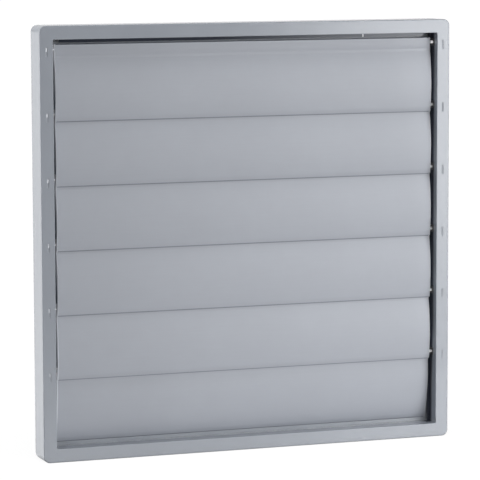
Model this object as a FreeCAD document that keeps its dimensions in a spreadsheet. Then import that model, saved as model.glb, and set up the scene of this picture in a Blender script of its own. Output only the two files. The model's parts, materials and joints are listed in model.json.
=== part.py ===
import FreeCAD, Part
import math
import os
import Sketcher

# Exhaust fan shutter: a moulded square frame with six cambered blades that hang
# from pivot pins near their top edges and are linked by a tie bar behind them.
# The origin is the centre of the frame in its rear plane. X runs to the right as
# seen from the front, Y runs from front to rear and Z is up, all in millimetres.

# Driving dimensions. Depths are measured back from the front face of the frame.
DIMENSIONS = [
    ("frame_width", 660, "outside width of the frame"),
    ("frame_height", 654, "outside height of the frame"),
    ("frame_depth", 46.5, "front face to rear rim"),
    ("flange_width", 20.7, "width of the front flange on all four sides"),
    ("front_wall", 3, "thickness of the front flange"),
    ("skirt_wall", 3, "thickness of the outer skirt"),
    ("inner_wall", 2.5, "thickness of the wall round the opening"),
    ("wall_behind_lip", 1.4, "inner wall behind the rear lip"),
    ("corner_radius", 10, "outer corners of the frame"),
    ("front_edge_radius", 1.4, "rounding of the outer front edge"),
    ("opening_corner_radius", 2, "corners of the opening"),
    ("opening_chamfer", 0.5, "chamfer on the front edge of the opening"),
    ("lip_thickness", 2.4, "thickness of the stop lips"),
    ("top_lip_depth", 18.6, "front face to the lip over the top blade"),
    ("top_lip_height", 5.3, "reach of the top lip into the opening"),
    ("top_lip_inset", 15, "gap between the top lip and each side wall"),
    ("side_lip_depth", 23, "front face to the side lips"),
    ("side_lip_width", 4, "reach of the side lips into the opening"),
    ("sill_lip_height", 10, "height of the rear lip that stops the bottom blade"),
    ("rear_lip_width", 14, "reach of the rear lip at the top and the sides"),
    ("top_pivot_drop", 14.8, "top of the opening down to the first pivot"),
    ("blade_overlap", 10.2, "bottom edge of a blade below the pivot of the next one"),
    ("land_margin", 4, "start of the land of a blade below the edge that rests on it"),
    ("bottom_gap", 5.6, "bottom of the opening up to the last blade, before it leans"),
    ("pivot_depth", 16.5, "front face to the pivot axes"),
    ("blade_end_gap", 5.9, "side wall of the opening to the end of a blade"),
    ("blade_rise", 7.3, "top edge of a blade above its pivot"),
    ("blade_skin", 1.6, "thickness of the blade extrusion"),
    ("camber_radius", 260, "radius of the front of the blade"),
    ("crown_depth", 8.9, "front face of the frame to the crown of the blade"),
    ("hem_reach", 5.5, "depth of the flange along the top edge of the blade"),
    ("blade_rib_height", 3.2, "height of the ribs behind the blade"),
    ("blade_rib_width", 1.4, "width of the ribs behind the blade"),
    ("blade_rib_gap", 15.7, "lower rib of a blade above the top edge of the next one"),
    ("blade_rib_spacing", 32, "distance between the two ribs of a blade"),
    ("bottom_blade_tilt", 8.6, "degrees that the bottom blade leans back"),
    ("seat_clearance", 0.3, "gap between a resting edge and its seat"),
    ("lower_blade_shift", 0.8, "sideways play taken up by the two lowest blades"),
    ("cap_thickness", 2, "thickness of a blade end cap"),
    ("gusset_depth", 6, "reach of the end cap behind the front of the blade land"),
    ("gusset_top_drop", 12, "pivot down to where the gusset starts to taper"),
    ("gusset_end_gap", 7.7, "end of the gusset above the top edge of the next blade"),
    ("tongue_length", 18, "end cap tongue inside the blade"),
    ("tongue_depth", 3.4, "thickness of the end cap tongue"),
    ("tongue_clearance", 0.1, "gap between the tongue and the blade"),
    ("pin_radius", 2.25, "pivot pin of an end cap"),
    ("pin_length", 12, "pivot pin beyond the end cap"),
    ("pin_clearance", 0.07, "radial running clearance of the pivot pins"),
    ("bush_width", 8, "outside of the square pivot bushes"),
    ("bush_length", 9, "pivot bush inside the wall and its boss"),
    ("bush_flange_width", 11, "square flange of a pivot bush"),
    ("bush_flange", 1.2, "thickness of the flange of a pivot bush"),
    ("bush_seat_clearance", 0.02, "gap between a bush and its hole"),
    ("boss_width", 10.7, "pivot boss, from the wall towards the skirt"),
    ("boss_rise", 6.5, "pivot boss above the pivot"),
    ("boss_drop", 12, "pivot boss below the pivot"),
    ("boss_depth", 23, "front face to the rear of a pivot boss"),
    ("dimple_inset", 9.8, "opening to the centre of a dimple in the flange"),
    ("dimple_drop", 3.5, "pivot down to the centre of its dimple"),
    ("dimple_height", 14, "height of a dimple"),
    ("dimple_width", 2.8, "width of a dimple"),
    ("dimple_chamfer", 0.9, "cut corners of a dimple"),
    ("dimple_depth", 0.5, "depth of a dimple"),
    ("web_thickness", 2, "webs between the skirt and the inner wall"),
    ("web_depth", 30, "front face to the rear edge of a web"),
    ("screw_boss_width", 11, "square corner screw bosses"),
    ("screw_boss_inset", 10.2, "outside of the frame to a corner screw boss"),
    ("pilot_radius", 1.75, "pilot hole for a mounting screw"),
    ("pilot_depth", 30, "depth of the pilot holes"),
    ("tie_lip_gap", 1.2, "gap between the rear lip and the tie bracket ears"),
    ("arm_up", 8.6, "tie bar pins above the pivots"),
    ("tie_bar_width", 6, "width of the tie bar"),
    ("tie_bar_end", 3.5, "end of the tie bar beyond its last pin"),
    ("tie_bar_thickness", 2.5, "thickness of the tie bar"),
    ("tie_pin_radius", 2, "shank of a tie bar pin"),
    ("tie_pin_clearance", 0.08, "radial clearance of a pin in the tie bar"),
    ("tie_pin_seat", 0.02, "radial gap between a pin and its bracket"),
    ("tie_head_radius", 3.4, "corners of the hexagon head of a tie bar pin"),
    ("tie_head", 1.6, "thickness of the head of a tie bar pin"),
    ("tie_side_gap", 0.3, "gap beside the tie bar"),
    ("bracket_width", 20, "width of a tie bracket on the blade"),
    ("bracket_base", 2, "thickness of the base of a tie bracket"),
    ("bracket_drop", 12, "base of a tie bracket below the pivot"),
    ("ear_thickness", 2.5, "ear of a tie bracket"),
    ("ear_margin", 4, "ear round the centre of the pin"),
]

BLADE_COUNT = 6
SIDE_WEBS = BLADE_COUNT - 1
TOP_WEBS = 7

doc = FreeCAD.newDocument("exhaust_fan_shutter")
sheet = doc.addObject("Spreadsheet::Sheet", "Sheet")
parts = []


class Size:
    """A length with its value and the sheet formula that gives it."""

    def __init__(self, value, formula):
        self.value = value
        self.formula = formula

    @staticmethod
    def of(item):
        return item if isinstance(item, Size) else Size(float(item), str(item))

    def joined(self, sign, other, value):
        return Size(value, f"({self.formula} {sign} {other.formula})")

    def __add__(self, other):
        other = Size.of(other)
        return self.joined("+", other, self.value + other.value)

    def __sub__(self, other):
        other = Size.of(other)
        return self.joined("-", other, self.value - other.value)

    def __mul__(self, other):
        other = Size.of(other)
        return self.joined("*", other, self.value * other.value)

    def __truediv__(self, other):
        other = Size.of(other)
        return self.joined("/", other, self.value / other.value)

    def __neg__(self):
        return Size(-self.value, f"(0 - {self.formula})")


def root(size):
    return Size(math.sqrt(size.value), f"sqrt({size.formula})")


def sine(angle):
    return Size(math.sin(math.radians(angle.value)), f"sin({angle.formula})")


def cosine(angle):
    return Size(math.cos(math.radians(angle.value)), f"cos({angle.formula})")


def fill_sheet():
    """Write the driving dimensions and return them as sizes by name."""
    sizes = {}
    for row, (name, number, meaning) in enumerate(DIMENSIONS, start=1):
        sheet.set(f"A{row}", meaning)
        sheet.set(f"B{row}", str(number))
        sheet.setAlias(f"B{row}", name)
        sizes[name] = Size(float(number), f"Sheet.{name}")
    doc.recompute()
    return sizes


size = fill_sheet()


def keep(name, meaning, item):
    """Write a worked-out size to the sheet under a name of its own."""
    row = len(size) + 1
    sheet.set(f"A{row}", meaning)
    sheet.set(f"B{row}", "=" + item.formula.replace("Sheet.", ""))
    sheet.setAlias(f"B{row}", name)
    doc.recompute()
    size[name] = Size(item.value, f"Sheet.{name}")
    return size[name]


# Sizes worked out once from the driving dimensions
half_width = size["frame_width"] / 2
half_height = size["frame_height"] / 2
open_x = keep("open_x", "half the width of the opening", half_width - size["flange_width"])
open_z = keep("open_z", "half the height of the opening", half_height - size["flange_width"])
blade_half = open_x - size["blade_end_gap"] - size["cap_thickness"]
pivot_y = keep("pivot_y", "pivot axes in Y", size["pivot_depth"] - size["frame_depth"])

# The blades share the height of the opening equally
shared_height = (open_z * 2 - size["top_pivot_drop"] - size["blade_overlap"]
                 - size["bottom_gap"])
blade_pitch = keep("blade_pitch", "one pivot to the next", shared_height / BLADE_COUNT)
blade_drop = keep("blade_drop", "bottom edge of a blade below its pivot",
                  blade_pitch + size["blade_overlap"])
next_top = blade_pitch - size["blade_rise"]
lower_rib_drop = next_top - size["blade_rib_gap"]
upper_rib_drop = lower_rib_drop - size["blade_rib_spacing"]
gusset_end_drop = next_top - size["gusset_end_gap"]


def pivot_z(number):
    """Height of a pivot, counted from 0 at the top blade."""
    return open_z - size["top_pivot_drop"] - blade_pitch * number


# The crown is where the camber is a skin and a clearance deeper at the start of
# the land than at the bottom edge
land_start = size["blade_overlap"] + size["land_margin"]
camber_run = blade_drop - land_start
edge_step = size["blade_skin"] + size["seat_clearance"]
crown_drop = keep("crown_drop", "most forward line of the blade below its pivot",
                  land_start + camber_run / 2
                  + size["camber_radius"] * edge_step / camber_run)

# The blade section, with its pivot at the section's origin and +Y to the rear
arc_centre_y = size["crown_depth"] + size["camber_radius"] - size["pivot_depth"]
inner_camber = size["camber_radius"] - size["blade_skin"]


def skin_y(radius, drop):
    """How far behind the pivot a camber arc is, at a distance below it."""
    rise = drop - crown_drop
    return arc_centre_y - root(radius * radius - rise * rise)


edge_front_y = keep("edge_front_y", "front of the bottom edge behind the pivot",
                    skin_y(size["camber_radius"], blade_drop))
edge_back_y = keep("edge_back_y", "back of the bottom edge behind the pivot",
                   skin_y(inner_camber, blade_drop))
land_front_y = edge_back_y + size["seat_clearance"]
land_back_y = land_front_y + size["blade_skin"]

# The bottom blade leans back until its edge rests on the sill lip
tilt = size["bottom_blade_tilt"]
rear_lip_y = keep("rear_lip_y", "front of the rear lip in Y",
                  pivot_y + edge_back_y * cosine(tilt) + blade_drop * sine(tilt)
                  + size["seat_clearance"])
inner_wall_y = rear_lip_y + size["lip_thickness"] + size["wall_behind_lip"]

# The tie bar runs behind the rear lip, so the arms that carry it reach past the lip
arm_back = keep("arm_back", "tie bar pins behind the pivots",
                rear_lip_y + size["lip_thickness"] + size["tie_lip_gap"]
                + size["ear_margin"] - pivot_y)


def new_body(name):
    body = doc.addObject("PartDesign::Body", name)
    body.Label = name
    parts.append(body)
    return body


def new_sketch(body, name, role, offset=None):
    """Attach a sketch to one of the body's own origin planes."""
    sketch = body.newObject("Sketcher::SketchObject", f"{body.Name}_{name}")
    plane = [item for item in body.Origin.OriginFeatures if item.Role == role][0]
    sketch.AttachmentSupport = [(plane, "")]
    sketch.MapMode = "FlatFace"
    if offset is not None:
        shift = FreeCAD.Vector(0, 0, offset.value)
        sketch.AttachmentOffset = FreeCAD.Placement(shift, FreeCAD.Rotation())
        sketch.setExpression("AttachmentOffset.Base.z", offset.formula)
    return sketch


def bind(sketch, kind, geometry, point, size_value):
    """Tie one coordinate of a point to the sheet."""
    rule = Sketcher.Constraint(kind, -1, 1, geometry, point, size_value.value)
    index = sketch.addConstraint(rule)
    sketch.setExpression(f"Constraints[{index}]", size_value.formula)


def pin_point(sketch, geometry, point, spot):
    bind(sketch, "DistanceX", geometry, point, Size.of(spot[0]))
    bind(sketch, "DistanceY", geometry, point, Size.of(spot[1]))


def bind_radius(sketch, geometry, radius):
    index = sketch.addConstraint(Sketcher.Constraint("Radius", geometry, radius.value))
    sketch.setExpression(f"Constraints[{index}]", radius.formula)


def vector(spot):
    return FreeCAD.Vector(Size.of(spot[0]).value, Size.of(spot[1]).value, 0)


def meet(sketch, first, second):
    """Join the end of one edge to the start of the next."""
    sketch.addConstraint(Sketcher.Constraint("Coincident", *first, *second))


def draw_polygon(sketch, corners):
    lines = []
    for start, end in zip(corners, corners[1:] + corners[:1]):
        segment = Part.LineSegment(vector(start), vector(end))
        lines.append(sketch.addGeometry(segment, False))
    for line, following, corner in zip(lines, lines[1:] + lines[:1], corners):
        meet(sketch, (line, 2), (following, 1))
        pin_point(sketch, line, 1, corner)


def draw_rectangle(sketch, low, high):
    draw_polygon(sketch, [low, (high[0], low[1]), high, (low[0], high[1])])


def draw_circle(sketch, centre, radius):
    circle = Part.Circle(vector(centre), FreeCAD.Vector(0, 0, 1), radius.value)
    index = sketch.addGeometry(circle, False)
    pin_point(sketch, index, 3, centre)
    bind_radius(sketch, index, radius)


def add_arc(sketch, centre, radius, start, end):
    """Add an arc that runs anticlockwise from one spot to another."""
    middle = vector(centre)
    angles = []
    for spot in (start, end):
        ray = vector(spot) - middle
        angles.append(math.atan2(ray.y, ray.x) % (2 * math.pi))
    circle = Part.Circle(middle, FreeCAD.Vector(0, 0, 1), radius.value)
    return sketch.addGeometry(Part.ArcOfCircle(circle, angles[0], angles[1]), False)


def add_line(sketch, start, end):
    return sketch.addGeometry(Part.LineSegment(vector(start), vector(end)), False)


def draw_square(sketch, centre, half):
    draw_rectangle(sketch, (centre[0] - half, centre[1] - half),
                   (centre[0] + half, centre[1] + half))


def draw_hexagon(sketch, radius):
    """Draw a hexagon round the origin, with a corner straight up."""
    side_x = radius * root(Size.of(3)) / 2
    low, high = -radius / 2, radius / 2
    zero = Size.of(0)
    draw_polygon(sketch, [(zero, -radius), (side_x, low), (side_x, high),
                          (zero, radius), (-side_x, high), (-side_x, low)])


def feature(body, kind, name, sketch, length, reverse=False, both=False):
    """Pad or pocket a sketch by a bound length."""
    item = body.newObject(f"PartDesign::{kind}", f"{body.Name}_{name}")
    item.Profile = sketch
    item.Length = length.value
    item.setExpression("Length", length.formula)
    item.Reversed = reverse
    if both:
        item.Midplane = True
    sketch.Visibility = False
    return item


def pad(body, name, sketch, length, **options):
    return feature(body, "Pad", name, sketch, length, **options)


def pocket(body, name, sketch, length, **options):
    return feature(body, "Pocket", name, sketch, length, **options)


def edge_names(shape, wanted):
    return [f"Edge{number}" for number, edge in enumerate(shape.Edges, start=1)
            if wanted(edge)]


def dress_edges(body, kind, length, name, amount, wanted):
    """Dress the edges of the body so far that pass a test of their geometry."""
    doc.recompute()
    base = body.Tip
    item = body.newObject(f"PartDesign::{kind}", f"{body.Name}_{name}")
    item.Base = (base, edge_names(base.Shape, wanted))
    setattr(item, length, amount.value)
    item.setExpression(length, amount.formula)


def fillet(body, name, radius, wanted):
    dress_edges(body, "Fillet", "Radius", name, radius, wanted)


def chamfer(body, name, width, wanted):
    dress_edges(body, "Chamfer", "Size", name, width, wanted)


def place(item, x, y, z, angle=None):
    """Put a sub-part in the frame, turned about X by an angle in degrees."""
    x, y, z = Size.of(x), Size.of(y), Size.of(z)
    turn = FreeCAD.Rotation(FreeCAD.Vector(1, 0, 0), angle.value if angle else 0)
    item.Placement = FreeCAD.Placement(FreeCAD.Vector(x.value, y.value, z.value), turn)
    item.setExpression("Placement.Base.x", x.formula)
    item.setExpression("Placement.Base.y", y.formula)
    item.setExpression("Placement.Base.z", z.formula)
    if angle:
        item.setExpression("Placement.Rotation.Angle", angle.formula)


# Frame: one moulding with a flange, a skirt, an inner wall, lips, bosses and webs

def along_y(edge):
    ends = [vertex.Point for vertex in edge.Vertexes]
    return (len(ends) == 2 and abs(ends[0].x - ends[1].x) < 0.01
            and abs(ends[0].z - ends[1].z) < 0.01)


def at_corner(x, z):
    """Test for an edge along Y at the four corners of a rectangle."""
    def wanted(edge):
        point = edge.Vertexes[0].Point
        return (along_y(edge) and abs(abs(point.x) - x.value) < 0.01
                and abs(abs(point.z) - z.value) < 0.01)
    return wanted


def in_front(x_limit, z_limit, outside):
    """Test for an edge in the front plane, outside or inside a rectangle."""
    def wanted(edge):
        box = edge.BoundBox
        flat = (abs(box.YMin + size["frame_depth"].value) < 0.01
                and abs(box.YMax + size["frame_depth"].value) < 0.01)
        inside = (max(abs(box.XMin), abs(box.XMax)) < x_limit.value
                  and max(abs(box.ZMin), abs(box.ZMax)) < z_limit.value)
        return flat and inside != outside
    return wanted


def depth_plane(depth):
    """Distance from the rear plane forward to a depth behind the front face."""
    return size["frame_depth"] - depth


def add_lip(body, name, depth_offset, low, high):
    sketch = new_sketch(body, f"{name}_outline", "XZ_Plane", depth_offset)
    draw_rectangle(sketch, low, high)
    pad(body, name, sketch, size["lip_thickness"], reverse=True)


def make_frame():
    body = new_body("frame")
    front = depth_plane(Size.of(0))
    behind_wall = depth_plane(size["front_wall"])

    outline = new_sketch(body, "outline", "XZ_Plane")
    draw_rectangle(outline, (-half_width, -half_height), (half_width, half_height))
    pad(body, "block", outline, size["frame_depth"])
    fillet(body, "corners", size["corner_radius"], at_corner(half_width, half_height))
    fillet(body, "front_edge", size["front_edge_radius"], in_front(open_x, open_z, True))

    opening = new_sketch(body, "opening_outline", "XZ_Plane", front)
    draw_rectangle(opening, (-open_x, -open_z), (open_x, open_z))
    pocket(body, "opening", opening, size["frame_depth"])
    fillet(body, "opening_corners", size["opening_corner_radius"], at_corner(open_x, open_z))
    chamfer(body, "opening_edge", size["opening_chamfer"],
            in_front(half_width, half_height, False))

    # The skirt stands alone behind the inner wall, and a channel parts the two
    skirt_x = half_width - size["skirt_wall"]
    skirt_z = half_height - size["skirt_wall"]
    wall_x = open_x + size["inner_wall"]
    wall_z = open_z + size["inner_wall"]
    recess = new_sketch(body, "recess_outline", "XZ_Plane")
    draw_rectangle(recess, (-skirt_x, -skirt_z), (skirt_x, skirt_z))
    pocket(body, "recess", recess, -inner_wall_y, reverse=True)
    channel = new_sketch(body, "channel_outline", "XZ_Plane")
    draw_rectangle(channel, (-skirt_x, -skirt_z), (skirt_x, skirt_z))
    draw_rectangle(channel, (-wall_x, -wall_z), (wall_x, wall_z))
    pocket(body, "channel", channel, behind_wall, reverse=True)
    fillet(body, "channel_corners", size["corner_radius"] - size["skirt_wall"],
           at_corner(skirt_x, skirt_z))

    # The rear lip stops the bottom blade and screens the gaps round the blades
    lip = new_sketch(body, "rear_lip_outline", "XZ_Plane", -rear_lip_y)
    clear_x = open_x - size["rear_lip_width"]
    draw_rectangle(lip, (-wall_x, -wall_z), (wall_x, wall_z))
    draw_rectangle(lip, (-clear_x, size["sill_lip_height"] - open_z),
                   (clear_x, open_z - size["rear_lip_width"]))
    pad(body, "rear_lip", lip, size["lip_thickness"], reverse=True)

    # Shallow lips close behind the ends and the top of the blades
    top_x = open_x - size["top_lip_inset"]
    add_lip(body, "top_lip", depth_plane(size["top_lip_depth"]),
            (-top_x, open_z - size["top_lip_height"]), (top_x, wall_z))
    for side, name in ((1, "right_lip"), (-1, "left_lip")):
        inner = (open_x - size["side_lip_width"]) * side
        outer = wall_x * side
        low_x, high_x = (inner, outer) if side > 0 else (outer, inner)
        add_lip(body, name, depth_plane(size["side_lip_depth"]),
                (low_x, -wall_z), (high_x, wall_z))

    # A boss behind the flange holds the bush of each pivot
    bosses = new_sketch(body, "boss_outlines", "XZ_Plane", behind_wall)
    for number in range(BLADE_COUNT):
        low = pivot_z(number) - size["boss_drop"]
        high = pivot_z(number) + size["boss_rise"]
        draw_rectangle(bosses, (open_x, low), (open_x + size["boss_width"], high))
        draw_rectangle(bosses, (-(open_x + size["boss_width"]), low), (-open_x, high))
    pad(body, "bosses", bosses, size["boss_depth"] - size["front_wall"], reverse=True)

    # Webs tie the skirt to the inner wall between the bosses
    webs = new_sketch(body, "web_outlines", "XZ_Plane", behind_wall)
    half_web = size["web_thickness"] / 2
    web_x = half_width - size["skirt_wall"] / 2
    web_z = half_height - size["skirt_wall"] / 2
    for number in range(SIDE_WEBS):
        middle = pivot_z(number) - blade_pitch / 2
        low, high = middle - half_web, middle + half_web
        draw_rectangle(webs, (open_x, low), (web_x, high))
        draw_rectangle(webs, (-web_x, low), (-open_x, high))
    for number in range(TOP_WEBS):
        middle = size["frame_width"] * (number - (TOP_WEBS - 1) / 2) / (TOP_WEBS + 1)
        left, right = middle - half_web, middle + half_web
        draw_rectangle(webs, (left, open_z), (right, web_z))
        draw_rectangle(webs, (left, -web_z), (right, -open_z))
    pad(body, "webs", webs, size["web_depth"] - size["front_wall"], reverse=True)

    # Corner bosses reach the rear plane and take the mounting screws
    screw_x = half_width - size["screw_boss_inset"]
    screw_z = half_height - size["screw_boss_inset"]
    corners = [(screw_x, screw_z), (-screw_x, screw_z), (-screw_x, -screw_z),
               (screw_x, -screw_z)]
    screw_bosses = new_sketch(body, "screw_boss_outlines", "XZ_Plane", behind_wall)
    pilots = new_sketch(body, "pilot_outlines", "XZ_Plane")
    for corner in corners:
        draw_square(screw_bosses, corner, size["screw_boss_width"] / 2)
        draw_circle(pilots, corner, size["pilot_radius"])
    pad(body, "screw_bosses", screw_bosses, behind_wall, reverse=True)
    pocket(body, "pilot_holes", pilots, size["pilot_depth"], reverse=True)

    # Bush holes run through the wall into the boss, on both sides at once
    holes = new_sketch(body, "bush_holes_outline", "YZ_Plane")
    half_hole = size["bush_width"] / 2 + size["bush_seat_clearance"]
    for number in range(BLADE_COUNT):
        draw_square(holes, (pivot_y, pivot_z(number)), half_hole)
    pocket(body, "bush_holes", holes, (open_x + size["bush_length"]) * 2, both=True)

    # Upright dimples mark the bosses on the front of the flange
    dimples = new_sketch(body, "dimple_outlines", "XZ_Plane", front)
    wide, tall = size["dimple_width"] / 2, size["dimple_height"] / 2
    narrow, short = wide - size["dimple_chamfer"], tall - size["dimple_chamfer"]
    reach = [(narrow, -tall), (wide, -short), (wide, short), (narrow, tall),
             (-narrow, tall), (-wide, short), (-wide, -short), (-narrow, -tall)]
    for number in range(BLADE_COUNT):
        middle = pivot_z(number) - size["dimple_drop"]
        for x in (open_x + size["dimple_inset"], -(open_x + size["dimple_inset"])):
            draw_polygon(dimples, [(x + across, middle + up) for across, up in reach])
    pocket(body, "dimples", dimples, size["dimple_depth"])


# Blades: one extrusion each, with a land that the blade above rests on

def add_camber_arc(sketch, radius, top, bottom):
    """Draw one camber arc and fix its circle; lines meet its two ends."""
    centre = (arc_centre_y, -crown_drop)
    arc = add_arc(sketch, centre, radius, top, bottom)
    bind_radius(sketch, arc, radius)
    pin_point(sketch, arc, 3, centre)
    return arc


def arc_spot(radius, y):
    """Where a camber arc crosses a depth, above the crown."""
    run = arc_centre_y - y
    return (y, root(radius * radius - run * run) - crown_drop)


def draw_section(sketch, spots, back_start):
    """Draw an outline of straight lines at the top and two camber arcs below them.

    The spots run from the top of the front arc, over the top, to the top of the
    back arc, which meets the last one at the height or depth it is tied to.
    """
    front_end = (edge_front_y, -blade_drop)
    back_end = (edge_back_y, -blade_drop)
    lines = [add_line(sketch, a, b) for a, b in zip(spots, spots[1:])]
    for line, following in zip(lines, lines[1:]):
        meet(sketch, (line, 2), (following, 1))
    for line, spot in zip(lines[1:], spots[1:]):
        pin_point(sketch, line, 1, spot)
    front = add_camber_arc(sketch, size["camber_radius"], spots[0], front_end)
    back = add_camber_arc(sketch, inner_camber, spots[-1], back_end)
    edge = add_line(sketch, back_end, front_end)
    meet(sketch, (front, 1), (lines[0], 1))
    meet(sketch, (back, 1), (lines[-1], 2))
    meet(sketch, (back, 2), (edge, 1))
    meet(sketch, (front, 2), (edge, 2))
    bind(sketch, "DistanceX", lines[0], 1, spots[0][0])
    bind(sketch, back_start, lines[-1], 2,
         spots[-1][0] if back_start == "DistanceX" else spots[-1][1])
    bind(sketch, "DistanceY", edge, 1, -blade_drop)
    bind(sketch, "DistanceY", edge, 2, -blade_drop)


def make_blade(number, shift, angle):
    body = new_body(f"blade_{number + 1}")
    section = new_sketch(body, "section", "YZ_Plane")
    rise, skin = size["blade_rise"], size["blade_skin"]
    hem_y = land_front_y + size["hem_reach"]
    draw_section(section, [
        arc_spot(size["camber_radius"], land_front_y), (land_front_y, rise),
        (hem_y, rise), (hem_y, rise - skin), (land_back_y, rise - skin),
        arc_spot(inner_camber, land_back_y)], "DistanceX")
    pad(body, "skin", section, blade_half * 2, both=True)

    ribs = new_sketch(body, "rib_section", "YZ_Plane")
    half_rib = size["blade_rib_width"] / 2
    for rib_drop in (upper_rib_drop, lower_rib_drop):
        root_y = skin_y(inner_camber + skin / 2, rib_drop)
        tip_y = skin_y(inner_camber, rib_drop) + size["blade_rib_height"]
        draw_rectangle(ribs, (root_y, -(rib_drop + half_rib)), (tip_y, half_rib - rib_drop))
    pad(body, "ribs", ribs, blade_half * 2, both=True)
    place(body, shift, pivot_y, pivot_z(number), angle)


def make_end_cap(number, side, shift, angle):
    """End cap with its gusset, its pivot pin and the tongue inside the blade."""
    word = "right" if side > 0 else "left"
    body = new_body(f"end_cap_{word}_{number + 1}")
    rise = size["blade_rise"]
    gusset_y = land_front_y + size["gusset_depth"]
    plate = new_sketch(body, "plate_outline", "YZ_Plane")
    draw_section(plate, [
        arc_spot(size["camber_radius"], land_front_y), (land_front_y, rise),
        (gusset_y, rise), (gusset_y, -size["gusset_top_drop"]),
        (skin_y(inner_camber, gusset_end_drop), -gusset_end_drop)],
        "DistanceY")
    pad(body, "plate", plate, size["cap_thickness"], reverse=side < 0)

    pin = new_sketch(body, "pin_outline", "YZ_Plane")
    draw_circle(pin, (Size.of(0), Size.of(0)), size["pin_radius"])
    reach = size["cap_thickness"] + size["pin_length"]
    pad(body, "pin", pin, reach, reverse=side < 0)
    tongue = new_sketch(body, "tongue_outline", "YZ_Plane")
    low_y = land_back_y + size["tongue_clearance"]
    high_z = rise - size["blade_skin"] - size["tongue_clearance"]
    draw_rectangle(tongue, (low_y, -size["gusset_top_drop"]),
                   (low_y + size["tongue_depth"], high_z))
    pad(body, "tongue", tongue, size["tongue_length"], reverse=side > 0)
    place(body, blade_half * side + shift, pivot_y, pivot_z(number), angle)


def make_bush(number, side):
    """Square flanged bush, pushed into the side wall from inside the opening."""
    word = "right" if side > 0 else "left"
    body = new_body(f"bush_{word}_{number + 1}")
    centre = (Size.of(0), Size.of(0))
    sleeve = new_sketch(body, "sleeve_outline", "YZ_Plane")
    draw_square(sleeve, centre, size["bush_width"] / 2)
    pad(body, "sleeve", sleeve, size["bush_length"], reverse=side < 0)
    flange = new_sketch(body, "flange_outline", "YZ_Plane")
    draw_square(flange, centre, size["bush_flange_width"] / 2)
    pad(body, "flange", flange, size["bush_flange"], reverse=side > 0)
    bore = new_sketch(body, "bore_outline", "YZ_Plane")
    draw_circle(bore, centre, size["pin_radius"] + size["pin_clearance"])
    pocket(body, "bore", bore, (size["bush_length"] + size["bush_flange"]) * 2, both=True)
    place(body, open_x * side, pivot_y, pivot_z(number))


# Tie bar: a flat bar behind the blades, carried by a pin on each blade's bracket

ear_inside = size["tie_bar_thickness"] / 2 + size["tie_side_gap"]
ear_outside = ear_inside + size["ear_thickness"]


def arm_in_blade(angle):
    """Tie pin position in the blade's own section, so that all arms are parallel."""
    if angle is None:
        return arm_back, size["arm_up"]
    back = arm_back * cosine(angle) + size["arm_up"] * sine(angle)
    up = size["arm_up"] * cosine(angle) - arm_back * sine(angle)
    return back, up


def make_bracket(number, shift, angle):
    """Bracket behind the top of a blade, with one ear beside the tie bar."""
    body = new_body(f"tie_bracket_{number + 1}")
    base = new_sketch(body, "base_outline", "YZ_Plane")
    top_z = size["blade_rise"] - size["blade_skin"]
    base_back_y = land_back_y + size["bracket_base"]
    draw_rectangle(base, (land_back_y, -size["bracket_drop"]), (base_back_y, top_z))
    pad(body, "base", base, size["bracket_width"], both=True)

    back, up = arm_in_blade(angle)
    ear = new_sketch(body, "ear_outline", "YZ_Plane", ear_inside - shift)
    margin = size["ear_margin"]
    draw_polygon(ear, [
        (land_back_y, -size["bracket_drop"]), (back + margin, up - margin),
        (back + margin, up + margin), (back - margin, up + margin),
        (back - margin, Size.of(0)), (land_back_y, Size.of(0))])
    pad(body, "ear", ear, size["ear_thickness"])

    hole = new_sketch(body, "hole_outline", "YZ_Plane", ear_outside - shift)
    draw_circle(hole, (back, up), size["tie_pin_radius"] + size["tie_pin_seat"])
    pocket(body, "hole", hole, size["ear_thickness"])
    place(body, shift, pivot_y, pivot_z(number), angle)


def make_tie_pin(number):
    """Hexagon-headed pin through the tie bar, pressed into the ear of one bracket."""
    body = new_body(f"tie_pin_{number + 1}")
    centre = (Size.of(0), Size.of(0))
    shank = new_sketch(body, "shank_outline", "YZ_Plane", -ear_inside)
    draw_circle(shank, centre, size["tie_pin_radius"])
    pad(body, "shank", shank, ear_inside + ear_outside)
    head = new_sketch(body, "head_outline", "YZ_Plane", -ear_inside)
    draw_hexagon(head, size["tie_head_radius"])
    pad(body, "head", head, size["tie_head"], reverse=True)
    place(body, Size.of(0), pivot_y + arm_back, pivot_z(number) + size["arm_up"])


def make_tie_bar():
    body = new_body("tie_bar")
    outline = new_sketch(body, "outline", "YZ_Plane")
    zero = Size.of(0)
    half_bar, end = size["tie_bar_width"] / 2, size["tie_bar_end"]
    last = -blade_pitch * (BLADE_COUNT - 1)
    draw_rectangle(outline, (-half_bar, last - end), (half_bar, end))
    hole = size["tie_pin_radius"] + size["tie_pin_clearance"]
    for number in range(BLADE_COUNT):
        draw_circle(outline, (zero, -blade_pitch * number), hole)
    pad(body, "bar", outline, size["tie_bar_thickness"], both=True)
    place(body, zero, pivot_y + arm_back, pivot_z(0) + size["arm_up"])


def check_and_write():
    """Stop on any failed object or bad shape, then write one file for each sub-part."""
    doc.recompute()
    for item in doc.Objects:
        bad = [word for word in item.State if word in ("Invalid", "Error")]
        if bad:
            raise RuntimeError(f"{item.Name} is {bad}")
    for part in parts:
        if part.Shape.isNull() or not part.Shape.isValid():
            raise RuntimeError(f"{part.Label} has a bad shape")
    os.makedirs("parts", exist_ok=True)
    for part in parts:
        part.Shape.exportStep(f"parts/{part.Label}.step")
        print(f"{part.Label}: {len(part.Shape.Solids)} solid, {part.Shape.Volume:.1f} mm3")


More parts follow.
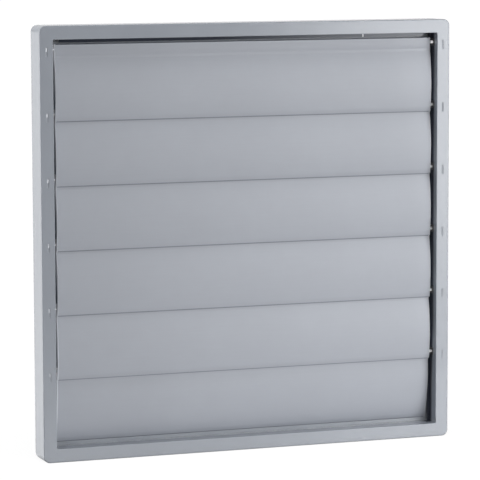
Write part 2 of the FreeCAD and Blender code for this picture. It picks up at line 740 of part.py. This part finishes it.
def build():
    make_frame()
    for number in range(BLADE_COUNT):
        shift = -size["lower_blade_shift"] if number >= BLADE_COUNT - 2 else Size.of(0)
        angle = tilt if number == BLADE_COUNT - 1 else None
        make_blade(number, shift, angle)
        for side in (-1, 1):
            make_end_cap(number, side, shift, angle)
            make_bush(number, side)
        make_bracket(number, shift, angle)
        make_tie_pin(number)
    make_tie_bar()
    check_and_write()


build()
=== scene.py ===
import json
import math

import bpy
from mathutils import Matrix, Vector


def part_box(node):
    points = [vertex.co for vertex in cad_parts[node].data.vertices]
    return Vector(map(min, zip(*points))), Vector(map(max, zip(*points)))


# Exhaust fan shutter: looks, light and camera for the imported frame. Lengths are in metres,
# apart from the sensor's, and colours are linear red, green and blue.

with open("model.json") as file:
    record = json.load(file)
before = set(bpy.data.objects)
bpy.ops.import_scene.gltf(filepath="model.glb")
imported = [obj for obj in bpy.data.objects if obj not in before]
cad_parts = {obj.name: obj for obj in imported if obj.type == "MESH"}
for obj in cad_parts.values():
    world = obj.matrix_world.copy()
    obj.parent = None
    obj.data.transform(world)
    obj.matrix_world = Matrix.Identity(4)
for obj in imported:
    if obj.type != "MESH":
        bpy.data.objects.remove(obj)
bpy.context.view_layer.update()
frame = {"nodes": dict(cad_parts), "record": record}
slot_of = {part["node"]: part["material_slot"] for part in frame["record"]["subparts"]}

# The camera stands where lines fitted to the photograph put it
IMAGE_SIDE_PX = 480
FOCAL_PX = 2855.81
SENSOR_WIDTH_MM = 36.0
CAMERA_REACH = 100
CAMERA_SPOT = Vector((-1.49364, -4.10211, 0.48409))
CAMERA_TARGET = Vector((-0.016818, -0.04626, -0.00298))
CAMERA_ROLL = math.radians(-0.2007)

# Sizes of the part that the looks follow
CAP_THICKNESS = 0.002
FLANGE_WIDTH = 0.0207
BLADE_PITCH = 0.097

# The slots round the blades, measured from the edge of the opening and its front.
# Their painted shade changes between two places in X, and starts deeper at the lowest blade.
SLOT_MARGIN = 0.0006
SLOT_WIDTH = 0.008
SLOT_SHADE_DEPTH = (0.008, 0.0145)
SLOT_END_DEPTH = 0.0295
SIDE_SLOT_X = (-0.1, 0.1)
SIDE_SLOT_SHADE = (0.3, 0.93)
TOP_SLOT_X = (-0.05, 0.28)
TOP_SLOT_SHADE = (0.97, 0.55)
LOW_SLOT_Z = (-0.15, -0.24)
LOW_SLOT_EXTRA_DEPTH = 0.006
# Painted shade colour for the deep parts of the slots, where shadow falls
SLOT_PAINTED_SHADE = (0.011, 0.014, 0.024)
TOP_MARK_X = 0.1925
TOP_MARK_HALF_WIDTH = 0.0009
TOP_MARK_GREY = (0.55, 0.57, 0.60)

# The roll along the bottom edges of the blades, and the painted shadow where blades meet and on
# the top blade's top edge
ROLL_HEIGHT = 0.008
ROLL_LEAN = 0.28
ROLL_MARGIN = 0.0002
SEAM_HEIGHT = 0.0022
SEAM_SHADE = 0.75
TOP_EDGE_MARGIN = 0.0008
TOP_EDGE_SHADE = 0.95

# The dimples over the pivot bosses
DIMPLE_INSET = 0.0098
FIRST_DIMPLE_DROP = 0.0183
DIMPLE_HALF_WIDTH = 0.0015
DIMPLE_HALF_HEIGHT = 0.0071
DIMPLE_DEPTH = 0.0005
DIMPLE_LEAN = 0.25
DIMPLE_RIGHT_LEAN = 0.3
DIMPLE_GLINT_RISE = 0.0032
DIMPLE_GLINT_REACH = 0.0022

# Painted glow that the pins at the right and the cap faces at the left give off at some heights
PIN_MARGIN = 0.0009
PIN_ROUGHNESS_SHARE = 0.6
PIN_GLOW_Z = (0.2, 0.27)
PIN_PAINTED_GLOW = (0.12, 0.5)
CAP_FACE_MARGIN = PIN_MARGIN * 1.5
CAP_GLOW_HIGH_Z = (0.262, 0.275)
CAP_GLOW_LOW_Z = (-0.1, -0.2)
CAP_PAINTED_GLOW = (0.2, 0.5)

FRAME_GREY = (0.228, 0.249, 0.284)
BLADE_GREY = (0.330, 0.348, 0.388)
CAP_GREY = (0.345, 0.362, 0.396)
# Painted light: a lit copy of the pin steel for the pins at the right, a shaded copy for those
# at the left
LIT_PIN_STEEL = (0.78, 0.78, 0.79)
SHADED_PIN_STEEL = (0.42, 0.42, 0.43)
DUST = (0.30, 0.30, 0.29)
# Painted shade for the blades: under their bottom edges, on the top edge of the top blade, and
# in their hollows
BLADE_PAINTED_SHADE = (0.09, 0.10, 0.125)
NYLON_BLACK = (0.030, 0.031, 0.034)
ALUMINIUM = (0.56, 0.57, 0.58)
STEEL = (0.55, 0.55, 0.56)

# Surfaces in general: the middle span of a noise, and what counts as an edge or a hollow
NOISE_SPAN = (0.3, 0.7)
MASK_SAMPLES = 6
EDGE_SPAN = (0.995, 0.85)
HOLLOW_SPAN = (0.85, 0.35)

# Plastic: painted shade takes most of its gloss, and wear makes its colour lighter
PLASTIC_IOR = 1.5
PLASTIC_GLOSS = 0.5
PAINTED_SHADE_GLOSS_LOSS = 0.45
WEAR_BRIGHTNESS = 1.15
CLOUD_SCALE = 7.0
PATCH_SCALE = 38.0
GRAIN_SCALE = 900.0
WEAR_SPAN = (0.3, 0.75)
DUST_SPAN = (0.3, 0.6, 0.4, 1)
ROUGH_SPAN = (0.2, 0.8)
ROUGH_SPREAD = 0.02
DUST_ROUGHNESS = 0.2
WAVE_HEIGHT = 0.002
WAVE_STRENGTH = 0.05
GRAIN_STRENGTH = 0.35

# Metal: fine lines along it
METAL_ROUNDING = 0.0002
METAL_LINE_SCALE = 300.0
METAL_PATCH_SCALE = 60.0
METAL_HOLLOW_REACH = 0.006
METAL_TONE = (0.88, 1.06)
METAL_ROUGH_SPREAD = 0.08
METAL_DUST_ROUGHNESS = 0.3
METAL_LINE_HEIGHT = 0.0001
METAL_LINE_STRENGTH = 0.3

# The floor glows for the camera, lights the part weakly, and is mirrored with a sheen that
# is stronger in front of the part and darkened by a painted shadow where the part stands
FLOOR_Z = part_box("frame")[0][2]
FLOOR_SIDE = 60.0
FLOOR_WHITE = (0.85, 0.85, 0.85, 1)
FLOOR_BOUNCE = (0.12, 0.12, 0.12, 1)
FLOOR_ROUGHNESS = 0.12
FLOOR_IOR = 1.8
FLOOR_GLOW_SHARE = 0.84
FLOOR_GLOW_REACH = (0.5, 2.5)
FLOOR_GLOW = (1.1, 1.22)
SHEEN_FAR_Y = (-1.2, -0.3)
SHEEN_NEAR_Y = (-0.06, -0.03)
SHEEN_PEAK = 2.0
CONTACT_SHADOW_REACH = 0.015
CONTACT_SHADOW_SHARE = 0.3

WHITE = (1, 1, 1, 1)
AMBIENT = 0.06
ORIGIN = (0, 0, 0)
CARD_SPOT = (1.36, -1.85, 0.1)
CARD_SIZE = (1.0, 1.7)


def add_camera():
    """Place the photograph's camera, with its small roll."""
    data = bpy.data.cameras.new("photo_camera")
    data.sensor_width = SENSOR_WIDTH_MM
    data.lens = FOCAL_PX / IMAGE_SIDE_PX * SENSOR_WIDTH_MM
    data.clip_end = CAMERA_REACH
    camera = bpy.data.objects.new("photo_camera", data)
    bpy.context.scene.collection.objects.link(camera)
    forward = (CAMERA_TARGET - CAMERA_SPOT).normalized()
    right = forward.cross(Vector((0, 0, 1))).normalized()
    up = right.cross(forward)
    turned_right = right * math.cos(CAMERA_ROLL) + up * math.sin(CAMERA_ROLL)
    turned_up = up * math.cos(CAMERA_ROLL) - right * math.sin(CAMERA_ROLL)
    turn = Matrix((turned_right, turned_up, -forward)).transposed()
    camera.matrix_world = Matrix.Translation(CAMERA_SPOT) @ turn.to_4x4()
    bpy.context.scene.camera = camera


def add_softbox(name, spot, size, radiance, target=ORIGIN, mirrored=True, lighting=True,
                only_on=()):
    """Add a rectangular light of a given brightness, hidden from the camera.

    It can be left out of mirror reflections, seen in nothing but them, or kept to some objects.
    """
    width, height = size
    data = bpy.data.lights.new(name, "AREA")
    data.shape = "RECTANGLE"
    data.size = width
    data.size_y = height
    data.energy = radiance * math.pi * width * height
    lamp = bpy.data.objects.new(name, data)
    lamp.location = spot
    lamp.rotation_euler = (Vector(target) - Vector(spot)).to_track_quat("-Z", "Y").to_euler()
    lamp.visible_camera = False
    lamp.visible_glossy = mirrored
    lamp.visible_diffuse = lighting
    bpy.context.scene.collection.objects.link(lamp)
    if only_on:
        receivers = bpy.data.collections.new(f"{name}_receivers")
        for item in only_on:
            receivers.objects.link(item)
        lamp.light_linking.receiver_collection = receivers


class Look:
    """A node material that is put together in a few steps."""

    # The type of the sockets that a Mix node uses for each kind of data
    MIX_SOCKETS = {"FLOAT": "VALUE", "VECTOR": "VECTOR", "RGBA": "RGBA"}

    def __init__(self, name):
        self.material = bpy.data.materials.new(name)
        self.material.use_nodes = True
        self.tree = self.material.node_tree
        self.tree.nodes.clear()
        self.output = self.node("OutputMaterial")

    def node(self, kind, **settings):
        item = self.tree.nodes.new(f"ShaderNode{kind}")
        for key, value in settings.items():
            setattr(item, key, value)
        return item

    def link(self, source, target):
        self.tree.links.new(source, target)

    def fill(self, socket, value):
        """Set an input, or link it when the value is a socket."""
        if isinstance(value, bpy.types.NodeSocket):
            self.link(value, socket)
        else:
            socket.default_value = value

    def set(self, node, **values):
        """Fill inputs by name."""
        for key, value in values.items():
            self.fill(node.inputs[key.replace("_", " ")], value)

    def math(self, operation, first, second=0.0):
        node = self.node("Math", operation=operation)
        for socket, value in zip(node.inputs, (first, second)):
            self.fill(socket, value)
        return node.outputs[0]

    def both(self, first, second):
        return self.math("MULTIPLY", first, second)

    def near(self, value, reach):
        """1 where a value is within a reach of zero."""
        return self.math("LESS_THAN", self.math("ABSOLUTE", value), reach)

    def stretch(self, value, low, high, new_low=0.0, new_high=1.0):
        """Map a range of values to another one."""
        node = self.node("MapRange")
        self.set(node, Value=value, From_Min=low, From_Max=high, To_Min=new_low, To_Max=new_high)
        return node.outputs[0]

    def mix(self, factor, first, second, data_type="RGBA"):
        """Blend two colours, vectors or numbers."""
        node = self.node("Mix", data_type=data_type)
        kind = self.MIX_SOCKETS[data_type]
        ends = [item for item in node.inputs if item.name in "AB" and item.type == kind]
        for socket, value in zip([node.inputs["Factor"], *ends], (factor, first, second)):
            plain_colour = socket.type == "RGBA" and isinstance(value, tuple)
            self.fill(socket, (*value, 1) if plain_colour else value)
        return [item for item in node.outputs if item.type == kind][0]

    def vector(self, operation, *values):
        """The vector that an operation on vectors gives."""
        node = self.node("VectorMath", operation=operation)
        for socket, value in zip(node.inputs, values):
            self.link(value, socket)
        return node.outputs["Vector"]

    def measure(self, operation, *values):
        """The number that an operation on vectors gives."""
        node = self.node("VectorMath", operation=operation)
        for socket, value in zip(node.inputs, values):
            self.link(value, socket)
        return node.outputs["Value"]

    def place(self, scale=(1, 1, 1)):
        """Object coordinates, which are metres in the part's own frame, times a scale."""
        where = self.node("TexCoord")
        mapping = self.node("Mapping")
        self.set(mapping, Vector=where.outputs["Object"], Scale=scale)
        return mapping.outputs[0]

    def position(self):
        """X, Y and Z in the part's own frame."""
        spot = self.node("SeparateXYZ")
        self.link(self.place(), spot.inputs[0])
        return spot.outputs

    def noise(self, scale, detail, stretch=(1, 1, 1), rough=0.5):
        node = self.node("TexNoise")
        self.set(node, Vector=self.place(stretch), Scale=scale, Detail=detail, Roughness=rough)
        return node.outputs[0]

    def round_edges(self, radius):
        node = self.node("Bevel", samples=MASK_SAMPLES)
        self.set(node, Radius=radius)
        return node.outputs[0]

    def edge_mask(self, rounded):
        """1 on the edges, where the rounded normal leaves the true one."""
        flat = self.node("NewGeometry").outputs["Normal"]
        return self.stretch(self.measure("DOT_PRODUCT", rounded, flat), *EDGE_SPAN)

    def hollow_mask(self, reach):
        """1 in corners and hollows, 0 in the open."""
        node = self.node("AmbientOcclusion", samples=MASK_SAMPLES)
        self.set(node, Distance=reach)
        return self.stretch(node.outputs["AO"], *HOLLOW_SPAN)

    def bump(self, height, distance, strength, normal):
        node = self.node("Bump")
        self.set(node, Height=height, Distance=distance, Strength=strength, Normal=normal)
        return node.outputs[0]

    def surface(self, **values):
        shader = self.node("BsdfPrincipled")
        self.set(shader, **values)
        self.link(shader.outputs[0], self.output.inputs["Surface"])

    def shader(self, kind, **values):
        """The output of a shader node with its inputs filled."""
        node = self.node(kind)
        self.set(node, **values)
        return node.outputs[0]

    def mix_shaders(self, factor, first, second):
        node = self.node("MixShader")
        for socket, value in zip(node.inputs, (factor, first, second)):
            self.fill(socket, value)
        return node.outputs[0]


def shade_slots(look, body, spot, opening):
    """Paint shade deep in the slots at the sides and the top of the opening, with a pale mark at
    the top.
    """
    x, z, depth = spot
    open_x, open_z = opening
    side = look.math("ABSOLUTE", x)
    inside = look.both(look.math("LESS_THAN", side, open_x + SLOT_MARGIN),
                       look.near(z, open_z + SLOT_MARGIN))
    at_top = look.math("GREATER_THAN", z, open_z - SLOT_WIDTH)
    rim = look.math("MAXIMUM", look.math("GREATER_THAN", side, open_x - SLOT_WIDTH), at_top)
    lower_start = look.both(look.stretch(z, *LOW_SLOT_Z), LOW_SLOT_EXTRA_DEPTH)
    reach = look.both(look.stretch(look.math("SUBTRACT", depth, lower_start), *SLOT_SHADE_DEPTH),
                      look.math("LESS_THAN", depth, SLOT_END_DEPTH))
    deep = look.both(look.both(inside, rim), reach)
    in_top_slot = look.both(at_top, look.math("LESS_THAN", x, open_x - SLOT_WIDTH * 2))
    shade = look.mix(in_top_slot, look.stretch(x, *SIDE_SLOT_X, *SIDE_SLOT_SHADE),
                     look.stretch(x, *TOP_SLOT_X, *TOP_SLOT_SHADE), "FLOAT")
    # Painted shade: the deep parts of the slots are darkened and lose gloss
    grime_and_painted_shade = look.both(deep, shade)
    body = look.mix(grime_and_painted_shade, body, SLOT_PAINTED_SHADE)
    mark = look.near(look.math("SUBTRACT", x, TOP_MARK_X), TOP_MARK_HALF_WIDTH)
    body = look.mix(look.both(mark, look.both(deep, at_top)), body, TOP_MARK_GREY)
    gloss = look.math("SUBTRACT", PLASTIC_GLOSS, look.both(grime_and_painted_shade, PAINTED_SHADE_GLOSS_LOSS))
    return body, gloss


def lean_dimples(look, normal, spot, opening):
    """Lean the floors of the dimples to the right.

    At the left of the frame it is a short stretch, which glints. At the right it is the half
    next to the opening, which stays dark.
    """
    x, z, depth = spot
    open_x, open_z = opening
    across = look.math("SUBTRACT", look.math("ABSOLUTE", x), open_x + DIMPLE_INSET)
    drop = look.math("SUBTRACT", open_z - FIRST_DIMPLE_DROP + BLADE_PITCH / 2, z)
    along = look.math("SUBTRACT", BLADE_PITCH / 2, look.math("MODULO", drop, BLADE_PITCH))
    outline = look.both(look.near(across, DIMPLE_HALF_WIDTH),
                        look.near(along, DIMPLE_HALF_HEIGHT))
    bottom = look.both(look.math("GREATER_THAN", depth, DIMPLE_DEPTH / 2),
                       look.math("LESS_THAN", depth, DIMPLE_DEPTH * 2))
    from_glint = look.math("ABSOLUTE", look.math("SUBTRACT", along, DIMPLE_GLINT_RISE))
    glint = look.stretch(from_glint, DIMPLE_GLINT_REACH, DIMPLE_GLINT_REACH * 1.5,
                         DIMPLE_LEAN, 0)
    inner = look.math("LESS_THAN", across, DIMPLE_HALF_WIDTH / 3)
    left_lean = look.both(look.math("LESS_THAN", x, 0), glint)
    right_lean = look.both(look.both(look.math("GREATER_THAN", x, 0), inner), DIMPLE_RIGHT_LEAN)
    lean = look.node("CombineXYZ")
    look.set(lean, X=look.math("MAXIMUM", left_lean, right_lean), Y=-1.0)
    leaning = look.vector("NORMALIZE", lean.outputs[0])
    return look.mix(look.both(outline, bottom), normal, leaning, "VECTOR")


def frame_details(look, body, normal):
    """Paint shade in the slots round the blades and lean the floors of the dimples."""
    low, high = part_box("frame")
    x, y, z = look.position()
    spot = (x, z, look.math("SUBTRACT", y, low[1]))
    opening = (high[0] - FLANGE_WIDTH, high[2] - FLANGE_WIDTH)
    body, gloss = shade_slots(look, body, spot, opening)
    return body, lean_dimples(look, normal, spot, opening), gloss


def blade_details(look, body, normal):
    """Roll the bottom edges of the blades under and paint shadow where blades meet and on the
    top blade's top edge.
    """
    _, _, z = look.position()
    above_lowest = look.math("SUBTRACT", z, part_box("blade_6")[0][2])
    height = look.math("MODULO", look.math("ADD", above_lowest, ROLL_MARGIN), BLADE_PITCH)
    first_low, first_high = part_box("blade_1")
    under_edge = look.stretch(height, BLADE_PITCH - SEAM_HEIGHT, BLADE_PITCH - SEAM_HEIGHT / 2)
    seam_shadow = look.both(under_edge, look.math("LESS_THAN", z, first_low[2] + BLADE_PITCH / 2))
    seam_shadow = look.math("MAXIMUM", seam_shadow, look.math("LESS_THAN", above_lowest, SEAM_HEIGHT / 2))
    top_edge_painted_shade = look.math("GREATER_THAN", z, first_high[2] - TOP_EDGE_MARGIN)
    # Painted shadow under each blade's bottom edge and a painted dark line on the top edge of
    # the top blade
    painted_shade = look.math("MAXIMUM", look.both(seam_shadow, SEAM_SHADE), look.both(top_edge_painted_shade, TOP_EDGE_SHADE))
    body = look.mix(painted_shade, body, BLADE_PAINTED_SHADE)
    roll = look.node("CombineXYZ")
    look.set(roll, Z=look.stretch(height, 0, ROLL_HEIGHT, -ROLL_LEAN, 0))
    rolled = look.vector("NORMALIZE", look.vector("ADD", normal, roll.outputs[0]))
    gloss = look.math("SUBTRACT", PLASTIC_GLOSS, look.both(top_edge_painted_shade, PAINTED_SHADE_GLOSS_LOSS))
    return body, rolled, gloss


def pin_values(look, body, roughness, pin_start):
    """Surface values for a cap whose surface is a steel pin beyond pin_start from the middle,
    with painted light on pins and cap faces.
    """
    x, _, z = look.position()
    distance = look.math("ABSOLUTE", x)
    steel = look.math("GREATER_THAN", distance, pin_start)
    at_right = look.math("GREATER_THAN", x, 0)
    face = look.both(look.math("GREATER_THAN", distance, pin_start - CAP_FACE_MARGIN),
                     look.math("LESS_THAN", x, 0))
    face = look.both(face, look.math("SUBTRACT", 1, steel))
    # Painted glow: the cap faces at the left and the pins at the right glow at some heights
    cap_painted_glow = look.math("MAXIMUM", look.stretch(z, *CAP_GLOW_HIGH_Z, *CAP_PAINTED_GLOW),
                         look.stretch(z, *CAP_GLOW_LOW_Z, *CAP_PAINTED_GLOW))
    pin_painted_glow = look.stretch(z, *PIN_GLOW_Z, *PIN_PAINTED_GLOW)
    glow = look.math("ADD", look.both(face, cap_painted_glow),
                     look.both(look.both(steel, at_right), pin_painted_glow))
    # Painted light: the pins at the right take the lit copy of the steel, those at the left the
    # shaded copy
    body = look.mix(steel, body, look.mix(at_right, SHADED_PIN_STEEL, LIT_PIN_STEEL))
    smoother = look.stretch(steel, 0, 1, 1, PIN_ROUGHNESS_SHARE)
    return {"Base_Color": body, "Metallic": steel, "Emission_Color": body,
            "Emission_Strength": glow, "Roughness": look.both(roughness, smoother)}


def plastic(name, colour, rough, mottle, grain, grain_height, dust, wear, rounding,
            grime_and_painted_shade=DUST, hollow_reach=0.012, pin_start=None, details=None):
    """Moulded or extruded plastic with grain, uneven tone, a colour in corners and rubbed edges.

    Beyond pin_start from the middle of the part, the surface is a steel pin. The corner colour
    is dust on most parts and painted shade on the blades. The function details may change
    the colour, the normal and the gloss in places.
    """
    look = Look(name)
    rounded = look.round_edges(rounding)
    cloud = look.noise(CLOUD_SCALE, 3.0)
    patch = look.noise(PATCH_SCALE, 4.0)
    grains = look.noise(GRAIN_SCALE, 3.0, grain, 0.6)
    tone = look.math("ADD", look.stretch(cloud, *NOISE_SPAN, -mottle, mottle),
                     look.stretch(patch, *NOISE_SPAN, -mottle / 2, mottle / 2))
    tone = look.math("ADD", tone,
                     look.stretch(grains, *NOISE_SPAN, 1 - mottle / 2, 1 + mottle / 2))
    shade = look.node("HueSaturation")
    look.set(shade, Color=(*colour, 1), Value=tone)
    rubbed = look.both(look.edge_mask(rounded), look.stretch(patch, *WEAR_SPAN))
    hollows = look.both(look.hollow_mask(hollow_reach), look.stretch(cloud, *DUST_SPAN))
    body = look.mix(look.both(hollows, dust), shade.outputs[0], grime_and_painted_shade)
    light = tuple(min(1.0, channel * WEAR_BRIGHTNESS) for channel in colour)
    body = look.mix(look.both(rubbed, wear), body, light)
    roughness = look.stretch(patch, *ROUGH_SPAN, rough - ROUGH_SPREAD, rough + ROUGH_SPREAD)
    roughness = look.math("ADD", roughness, look.both(hollows, DUST_ROUGHNESS))
    wave = look.bump(cloud, WAVE_HEIGHT, WAVE_STRENGTH, rounded)
    normal = look.bump(grains, grain_height, GRAIN_STRENGTH, wave)
    gloss = PLASTIC_GLOSS
    if details is not None:
        body, normal, gloss = details(look, body, normal)
    values = {"Base_Color": body, "Roughness": roughness}
    if pin_start is not None:
        values = pin_values(look, body, roughness, pin_start)
    look.surface(IOR=PLASTIC_IOR, Normal=normal, Specular_IOR_Level=gloss, **values)
    return look.material


def metal(name, colour, rough, grain, dust):
    """Drawn or rolled metal with lines along it, dulled in the corners."""
    look = Look(name)
    rounded = look.round_edges(METAL_ROUNDING)
    lines = look.noise(METAL_LINE_SCALE, 3.0, grain, 0.6)
    patch = look.noise(METAL_PATCH_SCALE, 4.0)
    hollows = look.both(look.hollow_mask(METAL_HOLLOW_REACH), dust)
    shade = look.node("HueSaturation")
    look.set(shade, Color=(*colour, 1), Value=look.stretch(patch, *NOISE_SPAN, *METAL_TONE))
    body = look.mix(hollows, shade.outputs[0], DUST)
    roughness = look.stretch(lines, *NOISE_SPAN, rough - METAL_ROUGH_SPREAD,
                             rough + METAL_ROUGH_SPREAD)
    roughness = look.math("ADD", roughness, look.both(hollows, METAL_DUST_ROUGHNESS))
    normal = look.bump(lines, METAL_LINE_HEIGHT, METAL_LINE_STRENGTH, rounded)
    look.surface(Base_Color=body, Metallic=1.0, Roughness=roughness, Normal=normal)
    return look.material


def make_materials():
    """One material for each slot of the record."""
    moulded = (1, 1, 1)
    along_x = (0.02, 1, 1)
    along_z = (1, 1, 0.02)
    blade_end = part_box("blade_1")[1][0]
    cap_face = blade_end + CAP_THICKNESS
    return {
        "frame_plastic": plastic("frame_plastic_look", FRAME_GREY, rough=0.2, mottle=0.03,
                                 grain=moulded, grain_height=0.00012, dust=0.35, wear=0.5,
                                 rounding=0.0006, details=frame_details),
        # The blades' corners take the painted shade colour, darker where shade falls
        "blade_plastic": plastic("blade_plastic_look", BLADE_GREY, rough=0.5, mottle=0.02,
                                 grain=along_x, grain_height=0.00006, dust=0.25, wear=0.4,
                                 rounding=0.0004, grime_and_painted_shade=BLADE_PAINTED_SHADE, hollow_reach=0.004,
                                 details=blade_details),
        "cap_plastic": plastic("cap_plastic_look", CAP_GREY, rough=0.4, mottle=0.02,
                               grain=moulded, grain_height=0.00008, dust=0.3, wear=0.3,
                               rounding=0.0003, pin_start=cap_face + PIN_MARGIN),
        "bush_nylon": plastic("bush_nylon_look", NYLON_BLACK, rough=0.42, mottle=0.06,
                              grain=moulded, grain_height=0.00006, dust=0.2, wear=0.3,
                              rounding=0.0003),
        "bar_aluminium": metal("bar_aluminium_look", ALUMINIUM, rough=0.42, grain=along_z,
                               dust=0.5),
        "pin_steel": metal("pin_steel_look", STEEL, rough=0.26, grain=moulded, dust=0.4),
    }


def dress_nodes(materials):
    for name, item in frame["nodes"].items():
        for holder in item.material_slots:
            holder.material = materials[slot_of[name]]


def floor_sheen(look):
    """The light that the floor adds in mirror reflections, relative to the world's, with a
    painted shadow at the part's foot.
    """
    x, y, _ = look.position()
    low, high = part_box("frame")
    past_x = look.math("MAXIMUM", look.math("SUBTRACT", look.math("ABSOLUTE", x), high[0]), 0)
    past_y = look.math("MAXIMUM", look.math("SUBTRACT", low[1], y),
                       look.math("SUBTRACT", y, high[1]))
    apart = look.math("ADD", past_x, look.math("MAXIMUM", past_y, 0))
    front = look.math("MINIMUM", look.stretch(y, *SHEEN_FAR_Y, 0, SHEEN_PEAK),
                      look.stretch(y, *SHEEN_NEAR_Y, SHEEN_PEAK, 0))
    front = look.both(front, look.math("GREATER_THAN", x, low[0]))
    # Painted shadow: the mirrored sheen is weaker where the part stands
    contact_shadow = look.stretch(apart, 0, CONTACT_SHADOW_REACH, CONTACT_SHADOW_SHARE, 1)
    return look.both(look.math("ADD", front, 1), contact_shadow)


def floor_look():
    """The floor's material, which differs for the camera, for mirrors and for plain light."""
    look = Look("studio_floor_look")
    path = look.node("LightPath")
    away = look.measure("LENGTH", look.place((1, 1, 0)))
    glow = look.shader("Emission", Color=WHITE,
                       Strength=look.stretch(away, *FLOOR_GLOW_REACH, *FLOOR_GLOW))
    seen = look.mix_shaders(FLOOR_GLOW_SHARE, look.shader("BsdfDiffuse", Color=FLOOR_WHITE),
                            glow)
    both = look.node("AddShader")
    look.link(look.shader("BsdfPrincipled", Base_Color=FLOOR_WHITE, Roughness=FLOOR_ROUGHNESS,
                          IOR=FLOOR_IOR), both.inputs[0])
    look.link(look.shader("Emission", Color=WHITE, Strength=floor_sheen(look)), both.inputs[1])
    mirrored = look.math("MAXIMUM", path.outputs["Is Glossy Ray"],
                         path.outputs["Is Transmission Ray"])
    unseen = look.mix_shaders(mirrored, look.shader("BsdfDiffuse", Color=FLOOR_BOUNCE),
                              both.outputs[0])
    final = look.mix_shaders(path.outputs["Is Camera Ray"], unseen, seen)
    look.link(final, look.output.inputs["Surface"])
    return look.material


def add_floor():
    """A white floor that shows a faint shadow of the part and is mirrored in it."""
    half = FLOOR_SIDE / 2
    mesh = bpy.data.meshes.new("studio_floor")
    mesh.from_pydata([(-half, -half, FLOOR_Z), (half, -half, FLOOR_Z), (half, half, FLOOR_Z),
                      (-half, half, FLOOR_Z)], [], [(0, 1, 2, 3)])
    floor = bpy.data.objects.new("studio_floor", mesh)
    bpy.context.scene.collection.objects.link(floor)
    mesh.materials.append(floor_look())
    return floor


def set_world(ambient):
    """White where the camera looks and in mirrors, and a weaker even light elsewhere."""
    world = bpy.data.worlds.new("studio_world")
    bpy.context.scene.world = world
    world.use_nodes = True
    tree = world.node_tree
    tree.nodes.clear()
    path = tree.nodes.new("ShaderNodeLightPath")
    strongest = path.outputs["Is Camera Ray"]
    for name in ("Is Glossy Ray", "Is Transmission Ray"):
        larger = tree.nodes.new("ShaderNodeMath")
        larger.operation = "MAXIMUM"
        tree.links.new(strongest, larger.inputs[0])
        tree.links.new(path.outputs[name], larger.inputs[1])
        strongest = larger.outputs[0]
    mix = tree.nodes.new("ShaderNodeMixShader")
    tree.links.new(strongest, mix.inputs["Fac"])
    for socket, strength in zip(mix.inputs[1:], (ambient, 1.0)):
        background = tree.nodes.new("ShaderNodeBackground")
        background.inputs["Color"].default_value = WHITE
        background.inputs["Strength"].default_value = strength
        tree.links.new(background.outputs[0], socket)
    output = tree.nodes.new("ShaderNodeOutputWorld")
    tree.links.new(mix.outputs[0], output.inputs["Surface"])


def light_studio(floor):
    """Cards for the reflections, softboxes round the part, and fills for its plain light."""
    set_world(AMBIENT)
    shell = [frame["nodes"]["frame"]]
    others = [item for name, item in frame["nodes"].items() if name != "frame"]
    add_softbox("frame_card", CARD_SPOT, CARD_SIZE, 7.6, lighting=False,
                only_on=shell + [floor])
    add_softbox("blade_card", CARD_SPOT, CARD_SIZE, 7.2, lighting=False, only_on=others)
    add_softbox("front_right_softbox", (1.7, -1.9, 0.3), (1.2, 1.0), 10.5, mirrored=False)
    add_softbox("overhead_softbox", (-0.1, -0.6, 2.3), (2.2, 1.4), 3.2, target=(0, -0.1, 0))
    add_softbox("left_rear_softbox", (-2.3, 0.5, 0.3), (1.6, 1.8), 5.4)
    add_softbox("left_fill", (-1.6, -1.2, 0.1), (0.8, 1.0), 3.0, mirrored=False, only_on=shell)
    add_softbox("front_fill", (0.6, -3.0, -0.05), (3.0, 1.2), 2.25, mirrored=False)
    add_softbox("low_fill", (0.15, -0.36, -0.23), (0.8, 0.12), 1.0, target=(0.1, 0, -0.29),
                mirrored=False)
    add_softbox("rear_fill", (-0.6, 2.8, 0.9), (2.0, 1.4), 4.5, mirrored=False,
                only_on=shell + others)


bpy.context.scene.view_settings.view_transform = "Standard"
add_camera()
dress_nodes(make_materials())
light_studio(add_floor())
